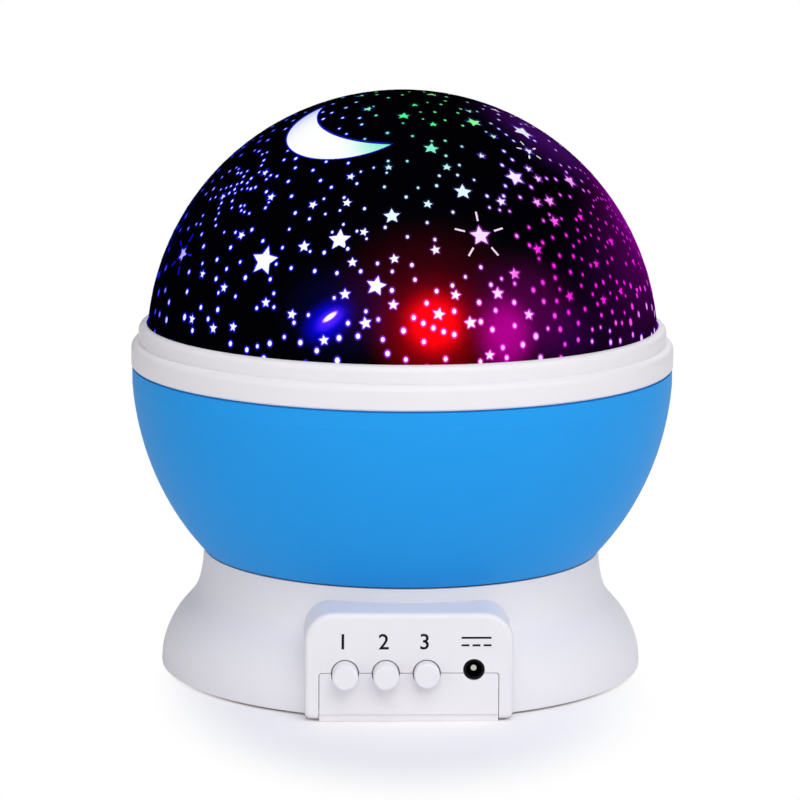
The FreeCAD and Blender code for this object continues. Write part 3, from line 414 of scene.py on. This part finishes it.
dotPattern = {
    "seed": 11,
    # radius in mm at the foot of the dome, half way up and at the top
    "radii": (0.52, 0.37, 0.29),
    "halfWay": 0.45,
    "tall": 1.2,
    "corners": 12,
    # how much bigger the dots at the sides are, and from what share of the radius
    "sideBigger": 1.3,
    "sideFrom": 0.84,
    "sizeSteps": (0.8, 0.95, 1.0, 1.1),
    "sizeSpread": 0.06,
    # coat that a dot needs round it in mm, tested by probes from outside that land on the coat's face
    "margin": 0.55,
    "probes": 6,
    "probeOut": 70.0,
    "probeSlack": 0.08,
    # width of the light that bleeds round a dot in mm, and a share of the dot's radius that adds to
    # it; where it starts and where it has faded to haloLeft, as shares of the radius and the width
    "haloWidth": 0.36,
    "haloShare": 0.2,
    "haloStart": 0.9,
    "haloMiddle": 0.45,
    "haloLeft": 0.55,
    "starHalo": 0.4,
    "sharpest": 2.2,
    # heights over the coat in mm: rims of bled light from star to dot, then the dots themselves
    "lifts": {"starHalo": 0.02, "outer": 0.025, "middle": 0.028, "inner": 0.03, "dot": 0.035},
    "scatter": 640,
    # lowest and highest place as shares of the dome's radius
    "scatterHeights": (0.06, 0.999),
    "stringHeights": (0.08, 0.85),
    "tries": 7000,
    "space": 2.9,
    # short strings of equal dots: their bend per dot, their number of dots and their spaces in mm
    "stringCount": 12,
    "stringSpace": 2.4,
    "stringGap": 1.8,
    "stringBend": 0.25,
    "stringDots": (3, 6),
    # azimuth, elevation, reach in mm, arms, dots per arm
    "swirls": [(-59, 42, 14.0, 6, 13), (74, 36, 17.0, 5, 12), (162, 34, 15.0, 6, 12),
               (-128, 46, 14.0, 5, 12)],
    # first dot of an arm in mm, turn of an arm in radians, stray in mm and radians, radii in mm
    "swirlStart": 1.5,
    "swirlTwist": 1.5,
    "swirlStray": (0.5, 0.2),
    "swirlRadii": (0.2, 0.32),
    "swirlSpace": 1.25,
    # where the dots lie closer together: azimuth, elevation and reach in degrees, tries, space in mm
    "thickets": [(46, 22, 15, 260, 2.5)],
    "thicketSize": 0.9,
    # no dot lies below this elevation
    "lowest": 3.6,
    # azimuth and elevation of the stars with a ray at each tip, light of the rays
    "rayStars": [(18, 33, "core"), (-69, 24, "halo"), (52, 54, "core"), (140, 30, "core")],
    # where the painted light of the lamp shines through and no dots lie: azimuth, elevation
    "bareSpots": [(-18, 15), (-16, 16), (-20, 14)],
    # ends of a ray as shares of the tip's reach, and its width in mm
    "rayFrom": 1.42,
    "rayTo": 2.35,
    "rayWidth": 0.42,
    "rayCount": 5,
    # least angle between two tips in radians, and how many degrees a star may be off its place above
    "rayApart": 0.7,
    "rayNear": 2.5,
}


def patch(bm, layer, spots, proud, colour, share=None):
    # Points of one lit shape that lies on the coat, its light painted on as emission. With a share, the
    # colour is painted bled light that is added to the coat's own painted glow.
    verts = []
    for spot in spots:
        vert = bm.verts.new(domeCentre + spot.normalized() * (coatR + proud))
        vert[layer] = colour if share is None else bledTint(spot, colour, share)
        verts.append(vert)
    return verts


def collar(bm, inner, outer):
    for i in range(len(inner)):
        j = (i + 1) % len(inner)
        bm.faces.new((inner[i], inner[j], outer[j], outer[i]))


def around(way, radius, count=dotPattern["corners"], tall=1.0):
    east = Vector((0, 0, 1)).cross(way).normalized()
    north = way.cross(east)
    turns = [2 * math.pi * i / count for i in range(count)]
    return [way * coatR + east * math.cos(t) * radius + north * math.sin(t) * radius * tall
            for t in turns]


def starHalo(bm, layer, way, loop):
    # A narrow rim of painted bled light round one window.
    width = dotPattern["starHalo"] * mm
    bleed = lampTint(way, "halo")
    outline = []
    for i, spot in enumerate(loop):
        up = spot.normalized()
        before = up.cross((spot - loop[i - 1]).normalized())
        after = up.cross((loop[(i + 1) % len(loop)] - spot).normalized())
        reach = min(dotPattern["sharpest"], 2 / max(0.1, (before + after).length_squared / 2))
        outline.append(spot + (before + after) * reach / 2 * width)
    lift = dotPattern["lifts"]["starHalo"] * mm
    inner = patch(bm, layer, loop, lift, bleed, 1.0)
    outer = patch(bm, layer, outline, lift, bleed, 0.0)
    collar(bm, inner, outer)


def starRays(bm, layer, way, loop, which):
    # Short lit strokes beyond the five tips of one star, their light painted on as emission.
    middle = sum(loop, Vector()) / len(loop)
    tips = []
    for spot in sorted(loop, key=lambda s: -(s - middle).length):
        arm = (spot - middle).normalized()
        apart = all(arm.angle(other) > dotPattern["rayApart"] for other, reach in tips)
        if apart and len(tips) < dotPattern["rayCount"]:
            tips.append((arm, (spot - middle).length))
    half = dotPattern["rayWidth"] * mm / 2
    taken = []
    for arm, reach in tips:
        side = way.cross(arm).normalized() * half
        start = middle + arm * reach * dotPattern["rayFrom"]
        stop = middle + arm * reach * dotPattern["rayTo"]
        corners = [start - side, stop - side, stop + side, start + side]
        lift = dotPattern["lifts"]["dot"] * mm
        bm.faces.new(patch(bm, layer, corners, lift, lampTint(way, which)))
        taken += [start.normalized(), ((start + stop) / 2).normalized(), stop.normalized()]
    return taken


def placeDots(taken):
    coat = nodes["star_mask"].data
    tree = BVHTree.FromPolygons([v.co for v in coat.vertices], [p.vertices for p in coat.polygons])

    def onCoat(way, reach):
        for probe in [way * coatR] + around(way, reach, dotPattern["probes"]):
            probe = probe.normalized()
            spot = tree.ray_cast(domeCentre + probe * dotPattern["probeOut"] * mm, -probe)[0]
            if spot is None or (spot - domeCentre).length < coatR - dotPattern["probeSlack"] * mm:
                return False
        return True

    rng = random.Random(dotPattern["seed"])
    lowest = math.sin(math.radians(dotPattern["lowest"]))
    dots = []

    def tryDot(way, r, space):
        if way.z < lowest:
            return
        near = space * mm / coatR
        if any((way - d).length < near for d, q in dots) or any((way - t).length < near for t in taken):
            return
        if onCoat(way, (r + dotPattern["margin"]) * mm):
            dots.append((way, r * mm))

    def anyWay(heights):
        azimuth = rng.uniform(-180, 180)
        return direction(azimuth, math.degrees(math.asin(rng.uniform(*heights))))

    def anySize(way):
        foot, half, top = dotPattern["radii"]
        halfWay, spread = dotPattern["halfWay"], dotPattern["sizeSpread"]
        if way.z < halfWay:
            size = foot + (half - foot) * way.z / halfWay
        else:
            size = half + (top - half) * (way.z - halfWay) / (1 - halfWay)
        if abs(way.x) > dotPattern["sideFrom"]:
            size *= dotPattern["sideBigger"]
        return size * rng.choice(dotPattern["sizeSteps"]) * rng.uniform(1 - spread, 1 + spread)

    for azimuth, elevation, reach, arms, count in dotPattern["swirls"]:
        middle = direction(azimuth, elevation)
        side = middle.orthogonal().normalized()
        start, twist = dotPattern["swirlStart"], dotPattern["swirlTwist"]
        stray, sway = dotPattern["swirlStray"]
        for arm in range(arms):
            for step in range(count):
                out = start + (reach - start) * step / (count - 1) + rng.uniform(-stray, stray)
                angle = 2 * math.pi * arm / arms + twist * step / count + rng.uniform(-sway, sway)
                spoke = Matrix.Rotation(angle, 3, middle) @ side
                tryDot((middle * coatR + spoke * out * mm).normalized(),
                       rng.uniform(*dotPattern["swirlRadii"]), dotPattern["swirlSpace"])
    for string in range(dotPattern["stringCount"]):
        way = anyWay(dotPattern["stringHeights"])
        heading = Matrix.Rotation(rng.uniform(0, 2 * math.pi), 3, way) @ way.orthogonal().normalized()
        bend = rng.uniform(-dotPattern["stringBend"], dotPattern["stringBend"])
        r = anySize(way)
        for step in range(rng.randint(*dotPattern["stringDots"])):
            tryDot(way, r, dotPattern["stringGap"])
            turnAxis = way.cross(heading).normalized()
            roll = Matrix.Rotation(dotPattern["stringSpace"] * mm / coatR, 3, turnAxis)
            way = (roll @ way).normalized()
            heading = (Matrix.Rotation(bend, 3, way) @ (roll @ heading)).normalized()
    tries = 0
    wanted = len(dots) + dotPattern["scatter"]
    while len(dots) < wanted and tries < dotPattern["tries"]:
        tries += 1
        way = anyWay(dotPattern["scatterHeights"])
        tryDot(way, anySize(way), dotPattern["space"])
    for azimuth, elevation, reach, count, space in dotPattern["thickets"]:
        for i in range(count):
            way = direction(azimuth + rng.uniform(-reach, reach), elevation + rng.uniform(-reach, reach))
            tryDot(way, dotPattern["thicketSize"] * anySize(way), space)
    return dots


def buildDots(core, halo):
    coreMesh, haloMesh = bmesh.new(), bmesh.new()
    coreLayer = coreMesh.verts.layers.float_color.new("lampTint")
    haloLayer = haloMesh.verts.layers.float_color.new("lampTint")
    loops = windowLoops()
    taken = [direction(*place) for place in dotPattern["bareSpots"]]
    for way, loop in loops:
        starHalo(haloMesh, haloLayer, way, loop)
        for azimuth, elevation, which in dotPattern["rayStars"]:
            if way.angle(direction(azimuth, elevation)) < math.radians(dotPattern["rayNear"]):
                taken += starRays(coreMesh, coreLayer, way, loop, which)
    dots = placeDots(taken)
    tall, lifts = dotPattern["tall"], dotPattern["lifts"]
    for way, r in dots:
        width = dotPattern["haloWidth"] * mm + dotPattern["haloShare"] * r
        bleed = lampTint(way, "halo")
        shape = around(way, r, tall=tall)
        coreMesh.faces.new(patch(coreMesh, coreLayer, shape, lifts["dot"] * mm, lampTint(way, "core")))
        rims = []
        for name, rimR, share in [("inner", r * dotPattern["haloStart"], 1.0),
                                  ("middle", r + width * dotPattern["haloMiddle"], dotPattern["haloLeft"]),
                                  ("outer", r + width, 0.0)]:
            shape = around(way, rimR, tall=tall)
            rims.append(patch(haloMesh, haloLayer, shape, lifts[name] * mm, bleed, share))
        collar(haloMesh, rims[0], rims[1])
        collar(haloMesh, rims[1], rims[2])
    meshPiece("windowDots", coreMesh, core, "dome")
    meshPiece("dotHalos", haloMesh, halo, "dome")
    print("windows with a halo:", len(loops), "dots on the dome:", len(dots))


# Marks on the console: plain numbers over the buttons and the sign for direct current

consoleMarks = {
    "numberX": [-14.6, -5.6, 3.4],
    "numberZ": 18.1,
    "numberHeight": 3.4,
    "numberWeight": 0.05,
    # height of a figure as a share of its type size
    "figureShare": 0.69,
    "faceY": -56.5,
    "proud": 0.02,
    "signX": 14.8,
    "signZ": 18.1,
    "signWidth": 6.6,
    "signLine": 0.45,
    "signGap": 1.7,
    # width of the sign in widths of one of its three dashes
    "signDashes": 3.8,
}


def printedInk():
    # Pad-printed black ink: dead matt, with an edge that the plastic's texture roughens.
    material, tree = newMaterial("printedInk")
    place = addNode(tree, "ShaderNodeTexCoord")
    grain = addNode(tree, "ShaderNodeTexNoise", {"Scale": 1 / (0.3 * mm)},
                    {"Vector": place.outputs["Object"]})
    sheen = addNode(tree, "ShaderNodeMapRange", {"To Min": 0.6, "To Max": 0.8},
                    {"Value": grain.outputs["Fac"]})
    shader = addNode(tree, "ShaderNodeBsdfPrincipled",
                     {"Base Color": linear("0C0C0E"), "Specular IOR Level": 0.15},
                     {"Roughness": sheen.outputs["Result"]})
    closeMaterial(tree, shader)
    return material


def buildMarks(ink):
    y = (consoleMarks["faceY"] - consoleMarks["proud"]) * mm
    for number, x in enumerate(consoleMarks["numberX"], start=1):
        text = bpy.data.curves.new("numberShape", "FONT")
        text.body = str(number)
        text.align_x = "CENTER"
        text.align_y = "CENTER"
        text.size = consoleMarks["numberHeight"] * mm / consoleMarks["figureShare"]
        text.offset = consoleMarks["numberWeight"] * mm
        text.resolution_u = 8
        holder = bpy.data.objects.new("numberHolder", text)
        bpy.context.scene.collection.objects.link(holder)
        bpy.context.view_layer.update()
        shape = bpy.data.meshes.new_from_object(holder)
        bpy.data.objects.remove(holder)
        middle = (min(v.co.y for v in shape.vertices) + max(v.co.y for v in shape.vertices)) / 2
        shape.transform(Matrix.Translation((0, -middle, 0)))
        shape.transform(Matrix.Rotation(math.pi / 2, 4, "X"))
        shape.transform(Matrix.Translation((x * mm, y, consoleMarks["numberZ"] * mm)))
        bm = bmesh.new()
        bm.from_mesh(shape)
        meshPiece("mark_number_" + str(number), bm, ink, "base", smooth=False)
    bm = bmesh.new()
    width, line = consoleMarks["signWidth"], consoleMarks["signLine"]
    high = consoleMarks["signZ"] + consoleMarks["signGap"] / 2
    low = consoleMarks["signZ"] - consoleMarks["signGap"] / 2
    left = consoleMarks["signX"] - width / 2
    bars = [(left, left + width, high)]
    dash = width / consoleMarks["signDashes"]
    for i in range(3):
        start = left + i * (width - dash) / 2
        bars.append((start, start + dash, low))
    for x0, x1, z in bars:
        corners = [(x0, z - line / 2), (x1, z - line / 2), (x1, z + line / 2), (x0, z + line / 2)]
        bm.faces.new([bm.verts.new((x * mm, y, h * mm)) for x, h in corners])
    meshPiece("mark_direct_current", bm, ink, "base", smooth=False)


# Table, light and camera

studio = {
    "targetZ": 60.6,
    "distance": 900.0,
    "azimuth": 1.95,
    "elevation": 10.4,
    "roll": 0.36,
    "focalPixels": 3878.0,
    "framePixels": 800,
    "middlePixel": (402.0, 405.0),
    "sensorMm": 36.0,
    "worldLight": 0.28,
    "floorColour": "F8F5F6",
    "floorR": 1200.0,
    "floorDrop": 0.05,
    "floorMiddleY": -26,
    "floorReach": (58.0, 96.0),
    "floorFade": (0.6, 1.02),
    # place in metres, side in metres, power in watts
    "softBoxes": {
        "keyBox": ((0.2, -0.85, 0.95), 1.2, 10.6),
        "topBox": ((0.0, -0.4, 1.15), 1.0, 1.4),
        "fillLeft": ((-0.75, -0.65, 0.3), 0.7, 2.0),
        "fillRight": ((0.9, -0.3, 0.3), 0.6, 1.5),
        "fillBack": ((0.25, 0.95, 0.6), 0.9, 2.6),
    },
}


def buildFloor():
    bm = bmesh.new()
    bmesh.ops.create_circle(bm, cap_ends=True, segments=96, radius=studio["floorR"] * mm)
    mesh = bpy.data.meshes.new("tableTop")
    bm.to_mesh(mesh)
    bm.free()
    floor = bpy.data.objects.new("tableTop", mesh)
    floor.location.z = -studio["floorDrop"] * mm
    bpy.context.scene.collection.objects.link(floor)
    material, tree = newMaterial("whiteTable")
    place = addNode(tree, "ShaderNodeTexCoord")
    shift = addNode(tree, "ShaderNodeVectorMath", {"operation": "SUBTRACT"}, {0: place.outputs["Object"]})
    shift.inputs[1].default_value = (0, studio["floorMiddleY"] * mm, 0)
    size = addNode(tree, "ShaderNodeVectorMath", {"operation": "DIVIDE"}, {0: shift.outputs[0]})
    across, forward = studio["floorReach"]
    size.inputs[1].default_value = (across * mm, forward * mm, 1)
    reach = addNode(tree, "ShaderNodeVectorMath", {"operation": "LENGTH"}, {0: size.outputs[0]})
    near, far = studio["floorFade"]
    fade = addNode(tree, "ShaderNodeMapRange", {"interpolation_type": "SMOOTHSTEP", "From Min": near,
                                                "From Max": far}, {"Value": reach.outputs["Value"]})
    path = addNode(tree, "ShaderNodeLightPath")
    seen = addNode(tree, "ShaderNodeMath", {"operation": "MULTIPLY"},
                   {0: path.outputs["Is Camera Ray"], 1: fade.outputs["Result"]})
    matt = addNode(tree, "ShaderNodeBsdfPrincipled", {"Base Color": linear(studio["floorColour"]),
                                                      "Roughness": 0.6, "Specular IOR Level": 0.2})
    white = addNode(tree, "ShaderNodeEmission", {"Color": (1, 1, 1, 1), "Strength": 1.0})
    mix = addNode(tree, "ShaderNodeMixShader", links={0: seen.outputs[0], 1: matt.outputs[0],
                                                      2: white.outputs[0]})
    closeMaterial(tree, mix)
    mesh.materials.append(material)


def softBox(name, place, side, power):
    light = bpy.data.lights.new(name, "AREA")
    light.size = side
    light.energy = power
    lamp = bpy.data.objects.new(name, light)
    lamp.location = place
    aim = Vector((0, 0, studio["targetZ"] * mm)) - Vector(place)
    lamp.rotation_euler = aim.to_track_quat("-Z", "Y").to_euler()
    bpy.context.scene.collection.objects.link(lamp)


def buildLight():
    for name, (place, side, power) in studio["softBoxes"].items():
        softBox(name, place, side, power)
    world = bpy.data.worlds.new("studioAir")
    world.use_nodes = True
    tree = world.node_tree
    tree.nodes.clear()
    path = addNode(tree, "ShaderNodeLightPath")
    clear = addNode(tree, "ShaderNodeMath", {"operation": "MAXIMUM"},
                    {0: path.outputs["Is Camera Ray"], 1: path.outputs["Is Transmission Ray"]})
    level = addNode(tree, "ShaderNodeMapRange", {"To Min": studio["worldLight"], "To Max": 1.0},
                    {"Value": clear.outputs[0]})
    air = addNode(tree, "ShaderNodeBackground", {"Color": (1, 1, 1, 1)},
                  {"Strength": level.outputs["Result"]})
    addNode(tree, "ShaderNodeOutputWorld", links={"Surface": air.outputs[0]})
    bpy.context.scene.world = world


def buildCamera():
    a, e, roll = [math.radians(studio[k]) for k in ("azimuth", "elevation", "roll")]
    view = Vector((math.sin(a) * math.cos(e), math.cos(a) * math.cos(e), -math.sin(e)))
    right = Vector((math.cos(a), -math.sin(a), 0))
    up = right.cross(view)
    right, up = right * math.cos(roll) + up * math.sin(roll), up * math.cos(roll) - right * math.sin(roll)
    data = bpy.data.cameras.new("photoCamera")
    frameSize = studio["framePixels"]
    middleX, middleY = studio["middlePixel"]
    data.sensor_width = studio["sensorMm"]
    data.lens = studio["focalPixels"] / frameSize * studio["sensorMm"]
    data.shift_x = -(middleX - frameSize / 2) / frameSize
    data.shift_y = (middleY - frameSize / 2) / frameSize
    data.clip_start = 0.01
    camera = bpy.data.objects.new("photoCamera", data)
    spot = Vector((0, 0, studio["targetZ"] * mm)) - view * studio["distance"] * mm
    turn = Matrix((right, up, -view)).transposed().to_4x4()
    camera.matrix_world = Matrix.Translation(spot) @ turn
    bpy.context.scene.collection.objects.link(camera)
    bpy.context.scene.camera = camera


# Finishes on the construction

def dress(name, material):
    for slot in nodes[name].material_slots:
        slot.material = material


whiteAbs = mouldedPlastic("mouldedWhiteAbs", "E5E3E8", "E3E1E6", 0.4, 0.2)
blueAbs = mouldedPlastic("mouldedBlueAbs", "1E97E6", "1C95E3", 0.5, 0.12)
blackAbs = mouldedPlastic("mouldedBlackAbs", "08080A", "0A0A0C", 0.4, 0.12)
acetal = mouldedPlastic("mouldedAcetal", "EDEBE2", "E8E6DC", 0.45)
greyAbs = mouldedPlastic("mouldedGreyAbs", "CFD1D6", "C9CBD0", 0.45)
redPvc = mouldedPlastic("extrudedRedPvc", "B4161A", "A81216", 0.4)
zinc = metal("zincPlatedSteel", "B8BABD", 0.35, 0.3)
nickel = metal("nickelPlatedSpringSteel", "D2D0C8", 0.22, 0.2)
drawnSteel = metal("drawnMotorSteel", "A9ABAE", 0.3, 0.15, (1, 1, 8))
board = glassFibreBoard()
sleeve = cellSleeve()
coat = smokedCoat()
film = litFilm()

finishes = {
    whiteAbs: ["dome_collar", "bowl_rim", "base_housing", "bottom_cover", "turntable", "battery_door",
               "button_1", "button_2", "button_3"],
    blueAbs: ["bowl"],
    blackAbs: ["head_deck", "switch_1", "switch_2", "switch_3", "charging_jack", "motor_cap",
               "controller_chip"],
    acetal: ["turntable_gear", "idler_gear", "motor_pinion", "thrust_washer"],
    greyAbs: ["drive_plate", "lamp_column", "plunger_1", "plunger_2", "plunger_3", "board_socket"],
    redPvc: ["lamp_wires", "battery_leads", "motor_leads"],
    zinc: ["turntable_screws", "column_screws", "board_screws", "cover_screws"],
    nickel: ["contact_plates", "contact_leaves", "jack_contact"],
    drawnSteel: ["motor_can", "motor_shaft", "idler_axle"],
    board: ["lamp_board", "main_board"],
    sleeve: ["cell_1", "cell_2", "cell_3", "cell_4"],
    coat: ["star_mask"],
    clearStyrene(): ["dome_shell"],
    epoxyLens("waterClearEpoxy", "FFFFFF", 1.0): ["lamp_white"],
    epoxyLens("redEpoxy", "FF2A20", 1.0): ["lamp_red"],
    epoxyLens("greenEpoxy", "30F060", 1.0): ["lamp_green"],
    epoxyLens("blueEpoxy", "2A40FF", 1.0): ["lamp_blue"],
}
for material, names in finishes.items():
    for name in names:
        dress(name, material)
print("finishes on", sum(len(names) for names in finishes.values()), "of", len(nodes), "pieces")

buildWindowFilm(film)
buildDots(film, haloInk())
print("dome windows lit")
buildMarks(printedInk())
print("console marked")
buildFloor()
buildLight()
buildCamera()
bpy.context.scene.view_settings.view_transform = "Standard"
print("studio set")
